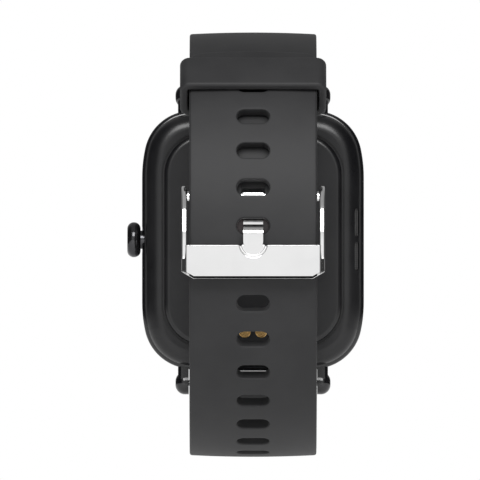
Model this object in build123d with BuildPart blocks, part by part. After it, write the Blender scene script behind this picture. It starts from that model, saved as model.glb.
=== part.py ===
from build123d import *
from math import atan2, cos, degrees, hypot, radians, sin
import os

# Smartwatch with a rotating crown and a two-piece silicone strap, buckled into a loop.
# Units are mm. The origin is the centre of the wrist opening, on the axis of the strap's rear arc.
# +X points out of the crown, +Z towards 12 o'clock, and the display faces -Y.

# ---- driving dimensions -------------------------------------------------------------------------
# case
case_w, case_h = 35.2, 41.6
corner_r, shoulder_r, shoulder_turn = 7.6, 22.0, 12.0   # each corner: tight arc between two wide ones
frame_front, frame_back = -5.3, 1.7        # depths from the spring bars, positive towards the wrist
frame_wall = 1.6
frame_edge = 0.7
case_y, case_z = -15.0, -0.3               # spring-bar plane and the case's mid height, from the origin
glass_inset, glass_thick, glass_proud = 0.9, 1.6, 0.8
glass_edge, glass_fit = 1.1, 0.05
gasket_thick, gasket_in = 0.2, 0.5
ledge, ledge_thick = 1.6, 0.6              # glass seat
display_w, display_h, display_thick = case_w - 7.8, case_h - 9.0, 1.5

# back cover
back_inset, back_depth, back_shoulder, back_wall = 0.55, 2.7, 2.5, 1.2
island_w, island_h, island_corner = case_w - 7.1, case_h - 8.1, 6.4
island_rise, island_edge = 0.9, 0.8
groove_w, groove_depth = 0.4, 0.5
window_r, window_thick = 7.0, 1.2
contact_r, contact_pitch, contact_rise = 0.92, 2.6, 0.1
contact_z = 2.15 - island_h / 2
slot_len, slot_w, slot_pitch, slot_tilt = 4.6, 1.25, 5.35, 53.0
mesh_thick, mesh_recess = 0.4, 0.3

# inside
chassis_w, chassis_h = case_w - 11.7, case_h - 6.7
share_w, share_h = chassis_w / 23.5, chassis_h / 34.9   # the parts inside grow with the chassis
share = min(share_w, share_h)
battery_w, battery_h, battery_thick = 18.4 * share_w, 19.0 * share_h, 2.8
board_thick = 0.8
screw_r, screw_head_r, screw_head, screw_len = 0.5, 0.9, 0.5, 2.2
battery_z, battery_gap, corner_small = 7.0 * share_h, 0.2, 1.2
pocket_z, pocket_h = -10.2 * share_h, 12.6 * share_h           # pocket of the speaker and the motor
motor_r, motor_thick, motor_x = 4.0 * share, 2.6, 4.9 * share_w
speaker_w, speaker_h, speaker_thick, speaker_x = 8.4 * share_w, 11.0 * share_h, 2.7, -4.7 * share_w
speaker_rim, speaker_recess = 1.0, 0.3
chip_w, chip_h, chip_at = 4.0, 3.0, (-6.0 * share_w, -9.5 * share_h)
connector_w, connector_h, connector_at = 2.0, 6.0 * share_h, (7.0 * share_w, -3.0 * share_h)
chip_thick = 0.7
can_w, can_h, can_thick, can_at = 11.0 * share_w, 8.0 * share_h, 1.1, (-3.2 * share_w, 8.5 * share_h)
sensor_gap, sensor_board_thick, sensor_w, lamp_pitch = 0.4, 0.5, 2.6, 6.4
magnet_w, magnet_h, magnet_thick, magnet_rise = 5.0 * share_w, 1.6, 1.0, 0.9
magnet_pitch = 12.0 * share_w

# crown
crown_depth = -1.2                         # crown axis, from the spring bars
knob_r, knob_len, knob_edge = 2.78, 2.1, 1.0
stem_r, crown_gap, crown_travel = 1.47, 0.25, 0.35
crown_pocket_r, crown_pocket_depth = 3.1, 0.35
spigot_in, clip_depth, clip_mouth = 0.5, 0.4, 1.6
bushing_wall, crown_fit = 0.55, 0.03
ring_wire = 0.35
clip_thick = 0.3
switch_len, switch_w, plunger_r, plunger_len = 2.0, 3.2, 0.8, 1.0

# lugs and spring bars
strap_w = 20.0
lug_clear, lug_thick, lug_r = 0.2, 2.1, 1.8
lug_waist, lug_edge, bulb_edge = 0.4, 0.7, 1.5
root_r, root_drop, root_back = 2.6, 1.1, 3.6   # where a lug runs into the case
bar_reach = 22.75                          # spring-bar axis, from the case's mid height
bar_r, bar_bore, tip_r, tip_len = 0.75, 0.5, 0.45, 0.95
pin_fit = 0.05
release_travel, lever_r, lever_len, lever_x = 1.2, 0.45, 2.3, 6.6
spring_room = 3.4

# strap
lower_r, lower_thick = 34.6, 1.85          # outer radius at mid width, thickness at mid width
upper_r, upper_thick = 32.45, 2.3
crown_rise = 0.27                          # how much the strap's outer face is crowned
strap_fillet, strap_end_r = 0.35, 1.75
end_taper = 24.0                           # degrees over which the strap thickens to its spring bar
tail_angle, tail_corner = 57.6, 1.8
hole_count, hole_w, hole_len = 13, 5.15, 2.55
first_hole, hole_pitch = 43.65, 10.15      # degrees above the horizontal, and the step down the strap

# keeper
keeper_from, keeper_to = 41.7, 52.1
keeper_wall, keeper_clear, keeper_corner = 1.2, 0.28, 1.4

# buckle
pin_angle, buckle_pin_r, buckle_tip_r = 12.0, 0.75, 0.5
buckle_gap, arm_thick, arm_lean = 0.35, 0.85, 1.9
plate_top, plate_bottom = -1.1, -6.4       # heights of the front bar
plate_clear, plate_thick = 0.35, 1.5
plate_chamfer, plate_edge, plate_round = 1.9, 0.35, 1.1
notch_r, notch_drop, notch_slope = 2.3, 0.25, 25.0
boss_r = 1.65
tongue_w, tongue_thick, tongue_tip, tongue_play = 3.1, 0.9, -2.1, 0.38
tongue_slot, tongue_reach, eye_angle = 3.75, 2.9, 4.0   # slot for the tongue: width, degrees above and below

os.makedirs("parts", exist_ok=True)


# ---- helpers ------------------------------------------------------------------------------------
def case_plane(depth):
    """Upright plane at a depth from the spring bars; its normal points out of the display."""
    return Plane(origin=(0, case_y + depth, case_z), x_dir=(1, 0, 0), z_dir=(0, -1, 0))


def case_outline(inset):
    """Case outline set in by a distance: straight sides, and three tangent arcs at each corner."""
    half_w, half_h = case_w / 2 - inset, case_h / 2 - inset
    wide, tight = shoulder_r - inset, corner_r - inset
    turn = radians(shoulder_turn)
    reach = wide * (1 - cos(turn) + sin(turn)) + tight * (cos(turn) - sin(turn))
    with BuildSketch() as outline:
        with BuildLine():
            side = Line((half_w, 0), (half_w, half_h - reach))
            first = JernArc(side @ 1, side % 1, wide, shoulder_turn)
            corner = JernArc(first @ 1, first % 1, tight, 90 - 2 * shoulder_turn)
            last = JernArc(corner @ 1, corner % 1, wide, shoulder_turn)
            Line(last @ 1, (0, half_h))
            mirror(about=Plane.YZ)
            mirror(about=Plane.XZ)
        make_face()
    return outline.sketch


def side_plane(x):
    """Plane across X, with Y to the right and Z up; its normal points out of the crown."""
    return Plane(origin=(x, 0, 0), x_dir=(0, 1, 0), z_dir=(1, 0, 0))


def crown_plane(x):
    """Side plane centred on the crown's axis."""
    return Plane(origin=(x, crown_y, case_z), x_dir=(0, 1, 0), z_dir=(1, 0, 0))


def ray(angle, radius):
    """Y and Z of the point at a radius from the loop's axis, at an angle above the horizontal."""
    return radius * cos(radians(angle)), radius * sin(radians(angle))


def save(part, label):
    """Labels a finished piece and writes its STEP file."""
    part.label = label
    export_step(part, f"parts/{label}.step")


# ---- derived sizes ------------------------------------------------------------------------------
back_face = frame_back + back_depth                    # flat of the back cover
island_face = back_face + island_rise
glass_seat = frame_front + glass_thick - glass_proud + gasket_thick
glass_back = glass_seat - gasket_thick
display_back = glass_back + display_thick
crown_y = case_y + crown_depth
crown_side = case_w / 2
knob_base = crown_side + crown_gap
bushing_bore = stem_r + crown_fit
bushing_r = bushing_bore + bushing_wall
lug_inner = strap_w / 2 + lug_clear
lug_outer = lug_inner + lug_thick
upper_bar = (case_y, case_z + bar_reach)
lower_bar = (case_y, case_z - bar_reach)
arm_inner = strap_w / 2 + buckle_gap
arm_outer = arm_inner + arm_thick
upper_mid, lower_mid = upper_r - upper_thick / 2, lower_r - lower_thick / 2
pin_y, pin_z = ray(pin_angle, upper_mid)
pin_hole = buckle_pin_r + pin_fit
plate_back = lower_r + plate_clear
plate_face = plate_back + plate_thick


# ---- mid frame: ring with lugs ------------------------------------------------------------------
lug_root = (case_y - root_drop, upper_bar[1] - root_back)
with BuildPart() as lug:
    with BuildSketch(side_plane(lug_inner)):
        make_hull(
            Circle(lug_r - lug_waist / 2, mode=Mode.PRIVATE).moved(Location((*upper_bar, 0))).edges()
            + Circle(root_r, mode=Mode.PRIVATE).moved(Location((*lug_root, 0))).edges()
        )
    extrude(amount=lug_thick - lug_waist)
    fillet(lug.faces().sort_by(Axis.X)[-1].edges(), lug_edge)
with BuildPart() as bulb:
    with BuildSketch(side_plane(lug_inner)):
        with Locations(upper_bar):
            Circle(lug_r)
    extrude(amount=lug_thick)
    fillet(bulb.faces().sort_by(Axis.X)[-1].edges(), bulb_edge)
    add(lug.part)
lug_pair = [bulb.part, mirror(bulb.part, about=Plane.YZ)]
lug_pair += [mirror(one, about=Plane.XY.offset(case_z)) for one in lug_pair]

with BuildPart() as mid_frame:
    with BuildSketch(case_plane(frame_back)):
        add(case_outline(0))
    extrude(amount=frame_back - frame_front)
    rims = mid_frame.faces().filter_by(Axis.Y)
    fillet(rims.edges(), frame_edge)
    add(lug_pair)
    # inside: the main cavity from the back, then the display opening and the glass seat
    with BuildSketch(case_plane(frame_back)):
        add(case_outline(frame_wall))
    extrude(amount=frame_back - glass_seat - ledge_thick, mode=Mode.SUBTRACT)
    with BuildSketch(case_plane(frame_back)):
        add(case_outline(glass_inset + ledge))
    extrude(amount=frame_back - frame_front, mode=Mode.SUBTRACT)
    with BuildSketch(case_plane(glass_seat)):
        add(case_outline(glass_inset - glass_fit))
    extrude(amount=glass_seat - frame_front, mode=Mode.SUBTRACT)
    # crown pocket and bushing hole
    with BuildSketch(crown_plane(crown_side)):
        Circle(crown_pocket_r)
    extrude(amount=-crown_pocket_depth, mode=Mode.SUBTRACT)
    with BuildSketch(crown_plane(crown_side)):
        Circle(bushing_r)
    extrude(amount=-2 * frame_wall, mode=Mode.SUBTRACT)
    # blind holes for the spring-bar tips
    for side in (-1, 1):
        with BuildSketch(side_plane(side * lug_inner)):
            with Locations(upper_bar, lower_bar):
                Circle(tip_r + pin_fit)
        extrude(amount=side * (tip_len + 0.2), mode=Mode.SUBTRACT)
save(mid_frame.part, "mid_frame")


# ---- front: glass, gasket, display --------------------------------------------------------------
with BuildPart() as cover_glass:
    with BuildSketch(case_plane(glass_back)):
        add(case_outline(glass_inset))
    extrude(amount=glass_thick)
    fillet(cover_glass.faces().sort_by(Axis.Y)[0].edges(), glass_edge)
save(cover_glass.part, "cover_glass")

with BuildPart() as glass_gasket:
    with BuildSketch(case_plane(glass_seat)):
        add(case_outline(glass_inset + 0.2))
        add(case_outline(glass_inset + ledge), mode=Mode.SUBTRACT)
    extrude(amount=gasket_thick)
save(glass_gasket.part, "glass_gasket")

with BuildPart() as display_panel:
    with BuildSketch(case_plane(display_back)):
        RectangleRounded(display_w, display_h, 2.0)
    extrude(amount=display_thick)
save(display_panel.part, "display_panel")


# ---- back cover: shell with a raised island -----------------------------------------------------
back_w = case_w - 2 * back_inset
window_seat = island_face - window_thick
slot_y = case_y + back_face - back_shoulder            # centre line of the rounded shoulder
slot_x = -(back_w / 2 - back_shoulder)
slot_dir = Vector(-sin(radians(slot_tilt)), cos(radians(slot_tilt)), 0)


def shoulder_plane(radius, z):
    """Plane square to the rounded shoulder on the side away from the crown."""
    origin = Vector(slot_x, slot_y, z) + slot_dir * radius
    return Plane(origin=origin, x_dir=(0, 0, 1), z_dir=slot_dir)


slot_heights = (case_z + slot_pitch / 2 + 0.05, case_z - slot_pitch / 2 + 0.05)

with BuildPart() as back_cover:
    with BuildSketch(case_plane(back_face)):
        add(case_outline(back_inset))
    extrude(amount=back_depth)
    fillet(back_cover.faces().sort_by(Axis.Y)[-1].edges(), back_shoulder)
    with BuildSketch(case_plane(back_face)):
        RectangleRounded(island_w + 2 * groove_w, island_h + 2 * groove_w, island_corner + groove_w)
    extrude(amount=groove_depth, mode=Mode.SUBTRACT)
    with BuildSketch(case_plane(island_face)):
        RectangleRounded(island_w, island_h, island_corner)
    extrude(amount=island_rise + groove_depth)
    fillet(back_cover.faces().sort_by(Axis.Y)[-1].edges(), island_edge)
    # hollow inside, following the shoulder and the island
    with BuildSketch(case_plane(frame_back)):
        add(case_outline(frame_wall + gasket_in))
    extrude(amount=-(back_depth - back_shoulder + 0.6), mode=Mode.SUBTRACT)
    with BuildSketch(case_plane(frame_back)):
        RectangleRounded(island_w - 2 * back_wall, island_h - 2 * back_wall, island_corner - back_wall)
    extrude(amount=-(island_face - back_wall - frame_back), mode=Mode.SUBTRACT)
    # seat of the sensor window, with a clear hole through its floor
    with BuildSketch(case_plane(island_face)):
        Circle(window_r + 0.05)
    extrude(amount=back_wall, mode=Mode.SUBTRACT)
    # charging contacts
    with BuildSketch(case_plane(island_face)):
        with Locations((0, contact_z)):
            with GridLocations(contact_pitch, 1, 2, 1):
                Circle(contact_r)
    extrude(amount=2 * back_wall, mode=Mode.SUBTRACT)
    # two slots in the shoulder
    with BuildSketch(*[shoulder_plane(0, z) for z in slot_heights]):
        SlotOverall(slot_len, slot_w)
    extrude(amount=2 * back_shoulder, mode=Mode.SUBTRACT)
save(back_cover.part, "back_cover")

for mesh_name, height in zip(("speaker_mesh", "microphone_mesh"), slot_heights):
    with BuildPart() as mesh_insert:
        with BuildSketch(shoulder_plane(back_shoulder - mesh_recess - mesh_thick, height)):
            SlotOverall(slot_len, slot_w)
        extrude(amount=mesh_thick)
    save(mesh_insert.part, mesh_name)

with BuildPart() as sensor_window:
    with BuildSketch(case_plane(window_seat)):
        Circle(window_r)
    extrude(amount=-window_thick - 0.25)
    fillet(sensor_window.faces().sort_by(Axis.Y)[-1].edges(), 0.3)
save(sensor_window.part, "sensor_window")

with BuildPart() as charging_contacts:
    with BuildSketch(case_plane(island_face + contact_rise)):
        with Locations((0, contact_z)):
            with GridLocations(contact_pitch, 1, 2, 1):
                Circle(contact_r)
    extrude(amount=back_wall + contact_rise + 0.4)
    fillet(charging_contacts.faces().group_by(Axis.Y)[-1].edges(), 0.08)
save(charging_contacts.part, "charging_contacts")

with BuildPart() as back_gasket:
    with BuildSketch(case_plane(frame_back)):
        add(case_outline(frame_wall))
        add(case_outline(frame_wall + gasket_in), mode=Mode.SUBTRACT)
    extrude(amount=0.8)
save(back_gasket.part, "back_gasket")


# ---- inside the case ----------------------------------------------------------------------------
chassis_front = display_back + 0.1
chassis_back = frame_back - 0.8
battery_front = chassis_front + 0.7
screw_x, screw_z = chassis_w / 2 - 1.15, chassis_h / 2 - 4.0
with BuildPart() as chassis:
    with BuildSketch(case_plane(chassis_back)):
        RectangleRounded(chassis_w, chassis_h, 4.0)
    extrude(amount=chassis_back - chassis_front)
    with BuildSketch(case_plane(chassis_back)):
        with Locations((0, battery_z)):
            RectangleRounded(battery_w + 2 * battery_gap, battery_h + 2 * battery_gap, corner_small)
        with Locations((0, pocket_z)):
            RectangleRounded(battery_w + 2 * battery_gap, pocket_h, corner_small)
    extrude(amount=chassis_back - battery_front, mode=Mode.SUBTRACT)
    with BuildSketch(case_plane(chassis_back)):
        with GridLocations(2 * screw_x, 2 * screw_z, 2, 2):
            Circle(screw_r + 0.02)
    extrude(amount=screw_len - board_thick + 0.1, mode=Mode.SUBTRACT)
save(chassis.part, "chassis")

with BuildPart() as battery:
    with BuildSketch(case_plane(battery_front + battery_thick)):
        with Locations((0, battery_z)):
            RectangleRounded(battery_w, battery_h, corner_small - battery_gap)
    extrude(amount=battery_thick)
    fillet(battery.edges().filter_by(Axis.Y, reverse=True), 0.4)
save(battery.part, "battery")

with BuildPart() as vibration_motor:
    with BuildSketch(case_plane(battery_front + motor_thick)):
        with Locations((motor_x, pocket_z)):
            Circle(motor_r)
    extrude(amount=motor_thick)
    fillet(vibration_motor.edges().filter_by(GeomType.CIRCLE), 0.3)
save(vibration_motor.part, "vibration_motor")

with BuildPart() as speaker:
    with BuildSketch(case_plane(battery_front + speaker_thick)):
        with Locations((speaker_x, pocket_z)):
            RectangleRounded(speaker_w, speaker_h, corner_small)
    extrude(amount=speaker_thick)
    with BuildSketch(case_plane(battery_front + speaker_thick)):
        with Locations((speaker_x, pocket_z)):
            RectangleRounded(speaker_w - 2 * speaker_rim, speaker_h - 2 * speaker_rim, corner_small / 2)
    extrude(amount=speaker_recess, mode=Mode.SUBTRACT)
save(speaker.part, "speaker")

board_front = chassis_back
board_w, board_h = chassis_w - 0.6, chassis_h - 0.6
with BuildPart() as main_board:
    with BuildSketch(case_plane(board_front + board_thick)):
        RectangleRounded(board_w, board_h, 3.7)
        with GridLocations(2 * screw_x, 2 * screw_z, 2, 2):
            Circle(screw_r + 0.1, mode=Mode.SUBTRACT)
    extrude(amount=board_thick)
    # chips and the display connector
    with BuildSketch(case_plane(board_front + board_thick + chip_thick)):
        with Locations(chip_at):
            Rectangle(chip_w, chip_h)
        with Locations(connector_at):
            Rectangle(connector_w, connector_h)
    extrude(amount=chip_thick)
save(main_board.part, "main_board")

with BuildPart() as shield_can:
    with BuildSketch(case_plane(board_front + board_thick + can_thick)):
        with Locations(can_at):
            RectangleRounded(can_w, can_h, corner_small / 2)
    extrude(amount=can_thick)
    fillet(shield_can.faces().sort_by(Axis.Y)[-1].edges(), 0.25)
save(shield_can.part, "shield_can")

with BuildPart() as board_screws:
    with BuildSketch(case_plane(board_front + board_thick + screw_head)):
        with GridLocations(2 * screw_x, 2 * screw_z, 2, 2):
            Circle(screw_head_r)
            Rectangle(2 * screw_r, screw_r / 2, mode=Mode.SUBTRACT)
            Rectangle(screw_r / 2, 2 * screw_r, mode=Mode.SUBTRACT)
    extrude(amount=screw_head)
    with BuildSketch(case_plane(board_front + board_thick + 0.2)):
        with GridLocations(2 * screw_x, 2 * screw_z, 2, 2):
            Circle(screw_r)
    extrude(amount=screw_len + 0.2)
save(board_screws.part, "board_screws")

sensor_back = window_seat - sensor_gap
with BuildPart() as sensor_board:
    with BuildSketch(case_plane(sensor_back)):
        Circle(window_r - sensor_gap)
    extrude(amount=sensor_board_thick)
    # two lamps each side of the light sensor
    with BuildSketch(case_plane(window_seat - 0.02)):
        with GridLocations(lamp_pitch, 1, 2, 1):
            Rectangle(sensor_w * 0.6, sensor_w * 0.8)
        Rectangle(sensor_w, sensor_w)
    extrude(amount=0.38)
save(sensor_board.part, "sensor_board")

with BuildPart() as charging_magnets:
    with BuildSketch(case_plane(island_face - back_wall)):
        with Locations((0, contact_z + magnet_rise)):
            with GridLocations(magnet_pitch, 1, 2, 1):
                Rectangle(magnet_w, magnet_h)
    extrude(amount=magnet_thick)
save(charging_magnets.part, "charging_magnets")


# ---- crown --------------------------------------------------------------------------------------
pocket_floor = crown_side - crown_pocket_depth
bushing_end = crown_side - frame_wall - 0.5
clip_x = bushing_end - 0.05 - clip_thick
stem_end = clip_x - 0.6
groove_r = stem_r - ring_wire + 0.05
ring_x = (bushing_end + 0.55, bushing_end + 1.25)

with BuildPart() as crown_bushing:
    with BuildSketch(crown_plane(pocket_floor)):
        Circle(bushing_r)
        Circle(bushing_bore, mode=Mode.SUBTRACT)
    extrude(amount=bushing_end - pocket_floor)
save(crown_bushing.part, "crown_bushing")

with BuildPart() as crown_knob:
    with BuildSketch(crown_plane(knob_base)):
        Circle(knob_r)
    extrude(amount=knob_len)
    fillet(crown_knob.edges().filter_by(GeomType.CIRCLE), knob_edge)
    with BuildSketch(crown_plane(knob_base)):
        Circle(stem_r - spigot_in)
    extrude(amount=knob_len / 2, mode=Mode.SUBTRACT)
save(crown_knob.part, "crown_knob")

with BuildPart() as crown_stem:
    with BuildSketch(crown_plane(stem_end)):
        Circle(stem_r)
    extrude(amount=knob_base - stem_end)
    with BuildSketch(crown_plane(knob_base)):
        Circle(stem_r - spigot_in)
    extrude(amount=knob_len / 2)
    for x in ring_x:
        with BuildSketch(crown_plane(x - ring_wire)):
            Circle(stem_r + 0.1)
            Circle(groove_r, mode=Mode.SUBTRACT)
        extrude(amount=2 * ring_wire, mode=Mode.SUBTRACT)
    with BuildSketch(crown_plane(clip_x)):
        Circle(stem_r + 0.1)
        Circle(stem_r - clip_depth, mode=Mode.SUBTRACT)
    extrude(amount=clip_thick, mode=Mode.SUBTRACT)
save(crown_stem.part, "crown_stem")

with BuildPart() as crown_o_rings:
    for x in ring_x:
        with BuildSketch(Plane.XY.offset(case_z)):
            with Locations((x, crown_y + (groove_r + stem_r) / 2)):
                Circle((stem_r - groove_r) / 2)
        revolve(axis=Axis((0, crown_y, case_z), (1, 0, 0)))
save(crown_o_rings.part, "crown_o_rings")

with BuildPart() as crown_clip:
    with BuildSketch(crown_plane(clip_x)):
        Circle(stem_r + 0.55)
        Circle(stem_r - clip_depth, mode=Mode.SUBTRACT)
        with Locations((0, -stem_r)):
            Rectangle(clip_mouth, 2 * stem_r, mode=Mode.SUBTRACT)
    extrude(amount=clip_thick)
save(crown_clip.part, "crown_clip")

switch_x = stem_end - 0.5 - switch_len
with BuildPart() as crown_switch:
    with BuildSketch(crown_plane(switch_x)):
        RectangleRounded(switch_w, switch_w, 0.3)
    extrude(amount=switch_len)
    with BuildSketch(crown_plane(switch_x + switch_len)):
        Circle(plunger_r + pin_fit)
    extrude(amount=-(plunger_len + 0.2), mode=Mode.SUBTRACT)
save(crown_switch.part, "crown_switch")

with BuildPart() as switch_plunger:
    with BuildSketch(crown_plane(stem_end - plunger_len)):
        Circle(plunger_r)
    extrude(amount=plunger_len)
save(switch_plunger.part, "switch_plunger")


# ---- strap --------------------------------------------------------------------------------------
def strap_section(plane, outer, thick):
    """Cross-section of a strap: flat inside, crowned outside, with rounded edges."""
    half = strap_w / 2
    inner = outer - thick
    with BuildSketch(plane) as section:
        with BuildLine():
            Polyline((-half, outer - crown_rise), (-half, inner), (half, inner), (half, outer - crown_rise))
            ThreePointArc((half, outer - crown_rise), (0, outer), (-half, outer - crown_rise))
        make_face()
        fillet(section.vertices(), strap_fillet)
    return section.sketch


def ray_plane(angle):
    """Plane through the loop's axis at an angle above the horizontal; local y points outwards."""
    return Plane.XY.rotated((angle, 0, 0))


def lug_arc(mid, bar, sign):
    """Radius and sweep of the arc from the strap's vertical tangent to the spring bar."""
    drop = mid - sign * bar[1]
    half_sweep = atan2(drop, -bar[0])
    return drop / (1 - cos(2 * half_sweep)), degrees(2 * half_sweep)


def strap_half(outer, thick, bar, sign, start, swept):
    """One half of the strap: rear arc about the loop's axis, then a tighter arc to its spring bar."""
    mid = outer - thick / 2
    radius, sweep = lug_arc(mid, bar, sign)
    centre_z = sign * (mid - radius)
    near = radians(sign * (90 + sweep - end_taper))
    near_at = (radius * cos(near), centre_z + radius * sin(near))
    with BuildPart() as half:
        revolve(strap_section(ray_plane(start), outer, thick), axis=Axis.X, revolution_arc=swept)
        bend = Axis((0, 0, centre_z), (sign, 0, 0))
        revolve(strap_section(ray_plane(sign * 90), outer, thick), axis=bend, revolution_arc=sweep)
        with BuildSketch(side_plane(-strap_w / 2)):
            make_hull(
                Circle(strap_end_r, mode=Mode.PRIVATE).moved(Location((*bar, 0))).edges()
                + Circle(thick / 2 - 0.1, mode=Mode.PRIVATE).moved(Location((*near_at, 0))).edges()
            )
        extrude(amount=strap_w)
        with BuildSketch(side_plane(-strap_w)):
            with Locations(bar):
                Circle(bar_r + pin_fit)
        extrude(amount=2 * strap_w, mode=Mode.SUBTRACT)
        # notch for the release lever, on the wrist side
        toward = lever_direction(bar, sign)
        with BuildSketch(lever_plane(bar, toward, 0)):
            with Locations((lever_x - release_travel / 2, 0)):
                SlotOverall(2 * lever_r + release_travel + 0.8, 2 * lever_r + 0.4)
        extrude(amount=2 * strap_end_r, mode=Mode.SUBTRACT)
    return half.part


def lever_direction(bar, sign):
    """Unit vector from the spring bar through the strap's wrist side, as Y and Z."""
    outer, thick = (upper_r, upper_thick) if sign > 0 else (lower_r, lower_thick)
    sweep = radians(lug_arc(outer - thick / 2, bar, sign)[1])
    return sin(sweep), -sign * cos(sweep)


def lever_plane(bar, toward, reach):
    """Plane on the spring-bar axis, facing along the release lever; local x is X."""
    origin = (0, bar[0] + toward[0] * reach, bar[1] + toward[1] * reach)
    return Plane(origin=origin, x_dir=(1, 0, 0), z_dir=(0, toward[0], toward[1]))


upper_strap = strap_half(upper_r, upper_thick, upper_bar, 1, pin_angle, 90 - pin_angle)
lower_strap = strap_half(lower_r, lower_thick, lower_bar, -1, -90, 90 + tail_angle)

with BuildPart() as upper_half:
    add(upper_strap)
    # eye round the buckle pin, slotted for the tongue
    with BuildSketch(side_plane(-strap_w / 2)):
        with Locations((pin_y, pin_z)):
            Circle(upper_thick / 2 - 0.02)
    extrude(amount=strap_w)
    with BuildSketch(side_plane(-strap_w)):
        with Locations((pin_y, pin_z)):
            Circle(pin_hole)
    extrude(amount=2 * strap_w, mode=Mode.SUBTRACT)
    with BuildSketch(ray_plane(pin_angle)):
        with Locations((0, upper_mid)):
            Rectangle(tongue_slot, 2 * upper_thick)
    revolve(axis=Axis.X, revolution_arc=tongue_reach, mode=Mode.SUBTRACT)
    with BuildSketch(ray_plane(pin_angle - eye_angle)):
        with Locations((0, upper_mid)):
            Rectangle(tongue_slot, 2 * upper_thick)
    revolve(axis=Axis.X, revolution_arc=eye_angle, mode=Mode.SUBTRACT)
save(upper_half.part, "upper_strap")



def outward_plane(plane):
    """Plane just outside the lower strap at a ray; local x is X and local y runs up the strap."""
    return Plane(origin=(0, 0, 0), x_dir=(1, 0, 0), z_dir=plane.y_dir).offset(lower_r + 1)


hole_planes = [ray_plane(first_hole - hole_pitch * i) for i in range(hole_count)]
with BuildPart() as lower_half:
    add(lower_strap)
    for plane in hole_planes:
        with BuildSketch(outward_plane(plane)):
            SlotOverall(hole_w, hole_len)
        extrude(amount=-lower_thick - 2, mode=Mode.SUBTRACT)
    # rounded corners at the tail
    with BuildSketch(outward_plane(ray_plane(tail_angle))):
        Rectangle(strap_w + 2, 3 * tail_corner)
        with Locations((0, -tail_corner * 4)):
            RectangleRounded(strap_w, 8 * tail_corner, tail_corner, mode=Mode.SUBTRACT)
    extrude(amount=-lower_thick - 2, mode=Mode.SUBTRACT)
save(lower_half.part, "lower_strap")

keeper_half = strap_w / 2 + keeper_clear
keeper_in, keeper_out = upper_r - upper_thick - keeper_clear, lower_r + keeper_clear
with BuildPart() as strap_keeper:
    with BuildSketch(ray_plane(keeper_from)) as ring:
        with Locations((0, (keeper_in + keeper_out) / 2)):
            Rectangle(2 * (keeper_half + keeper_wall), keeper_out - keeper_in + 2 * keeper_wall)
            fillet(ring.vertices(), keeper_corner)
            RectangleRounded(2 * keeper_half, keeper_out - keeper_in, 0.3, mode=Mode.SUBTRACT)
    revolve(axis=Axis.X, revolution_arc=keeper_to - keeper_from)
save(strap_keeper.part, "strap_keeper")


# ---- buckle -------------------------------------------------------------------------------------
arm_front = plate_back + plate_thick * 0.6
with BuildPart() as arm:
    with BuildSketch(side_plane(arm_inner)):
        with BuildLine():
            Polyline(
                (pin_y - boss_r, pin_z),
                (pin_y + arm_lean, plate_top),
                (plate_back, plate_bottom + plate_chamfer),
                (arm_front, plate_bottom + plate_chamfer),
                (arm_front, pin_z - boss_r),
            )
            ThreePointArc(
                (arm_front, pin_z - boss_r),
                (pin_y + boss_r + arm_lean, pin_z + boss_r / 2),
                (pin_y, pin_z + boss_r),
            )
            RadiusArc((pin_y, pin_z + boss_r), (pin_y - boss_r, pin_z), -boss_r)
        make_face()
    extrude(amount=arm_thick)
    with BuildSketch(side_plane(arm_inner)):
        with Locations((pin_y, pin_z)):
            Circle(buckle_tip_r)
    extrude(amount=arm_thick * 0.7, mode=Mode.SUBTRACT)

with BuildPart() as buckle_frame:
    add([arm.part, mirror(arm.part, about=Plane.YZ)])
    # front bar with chamfered lower corners
    with BuildSketch(Plane(origin=(0, plate_back, 0), x_dir=(-1, 0, 0), z_dir=(0, 1, 0))) as bar_face:
        with BuildLine():
            Polyline(
                (-arm_outer, plate_top),
                (arm_outer, plate_top),
                (arm_outer, plate_bottom + plate_chamfer * 0.58),
                (arm_outer - plate_chamfer, plate_bottom),
                (-arm_outer + plate_chamfer, plate_bottom),
                (-arm_outer, plate_bottom + plate_chamfer * 0.58),
                close=True,
            )
        make_face()
    extrude(amount=plate_thick)
    bar_front = buckle_frame.faces().sort_by(Axis.Y)[-1]
    upright = bar_front.edges().filter_by(Axis.Z)
    fillet(upright, plate_round)
    bar_front = buckle_frame.faces().sort_by(Axis.Y)[-1]
    chamfer(bar_front.edges().group_by(Axis.Z)[0], plate_edge)
    # notch that takes the tip of the tongue
    with BuildSketch(Plane(origin=(0, plate_face, 0), x_dir=(-1, 0, 0), z_dir=(0, 1, 0))):
        with Locations((0, plate_top + notch_drop)):
            Circle(notch_r)
    extrude(amount=-tongue_thick - 0.1, taper=notch_slope, mode=Mode.SUBTRACT)
save(buckle_frame.part, "buckle_frame")

with BuildPart() as buckle_pin:
    with BuildSketch(side_plane(-arm_inner + 0.05)):
        with Locations((pin_y, pin_z)):
            Circle(buckle_pin_r)
    extrude(amount=2 * arm_inner - 0.1)
    with BuildSketch(side_plane(-arm_inner - arm_thick * 0.7 + 0.05)):
        with Locations((pin_y, pin_z)):
            Circle(buckle_tip_r - 0.02)
    extrude(amount=2 * (arm_inner + arm_thick * 0.7 - 0.05))
save(buckle_pin.part, "buckle_pin")

# the tongue runs under the strap, comes out near the lower end of a hole and lies on the bar
eye_r = pin_hole + 0.34
tongue_hole = radians(first_hole - 4 * hole_pitch)
tongue_low = -hole_len / 2 + tongue_play + tongue_thick / 2
tongue_y = plate_face - tongue_thick / 2 + 0.05


def through_hole(radius):
    """Point of the tongue's centre line inside the hole, at a distance from the loop's axis."""
    return (
        radius * cos(tongue_hole) - tongue_low * sin(tongue_hole),
        radius * sin(tongue_hole) + tongue_low * cos(tongue_hole),
    )


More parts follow.
